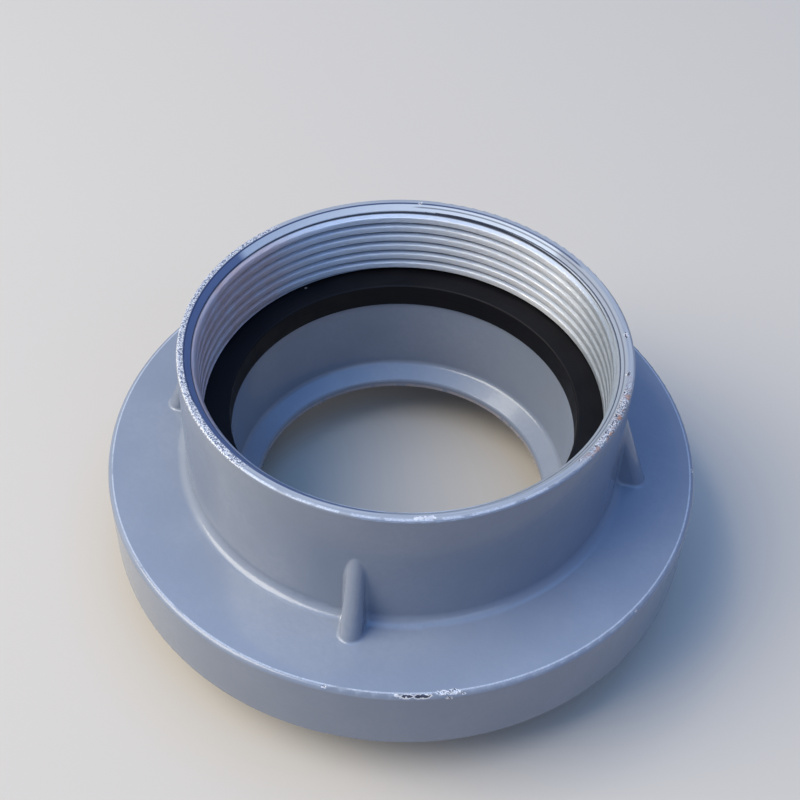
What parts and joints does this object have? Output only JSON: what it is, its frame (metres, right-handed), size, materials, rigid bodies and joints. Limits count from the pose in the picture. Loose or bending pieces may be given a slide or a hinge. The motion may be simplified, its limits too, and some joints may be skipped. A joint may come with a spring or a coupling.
{
  "type": "fire hydrant connector",
  "caption": "Round fire coupling: ribbed neck with a female pipe thread and gasket above a wide ring, with hooked quick-connect claws and a face seal below.",
  "frame": {"origin": "middle of the base, in the plane of the claws' end faces that the part stands on", "axes": "+Z along the waterway's axis, up to the threaded mouth; +X through the middle of one claw"},
  "size_m": [0.111, 0.111, 0.052],
  "materials": {
    "blue_grey_paint": "gloss paint on cast aluminium",
    "black_rubber": "smooth moulded rubber"
  },
  "bodies": {
    "root": {"coupling_body": "blue_grey_paint", "thread_gasket": "black_rubber", "face_seal": "black_rubber"}
  },
  "joints": []
}
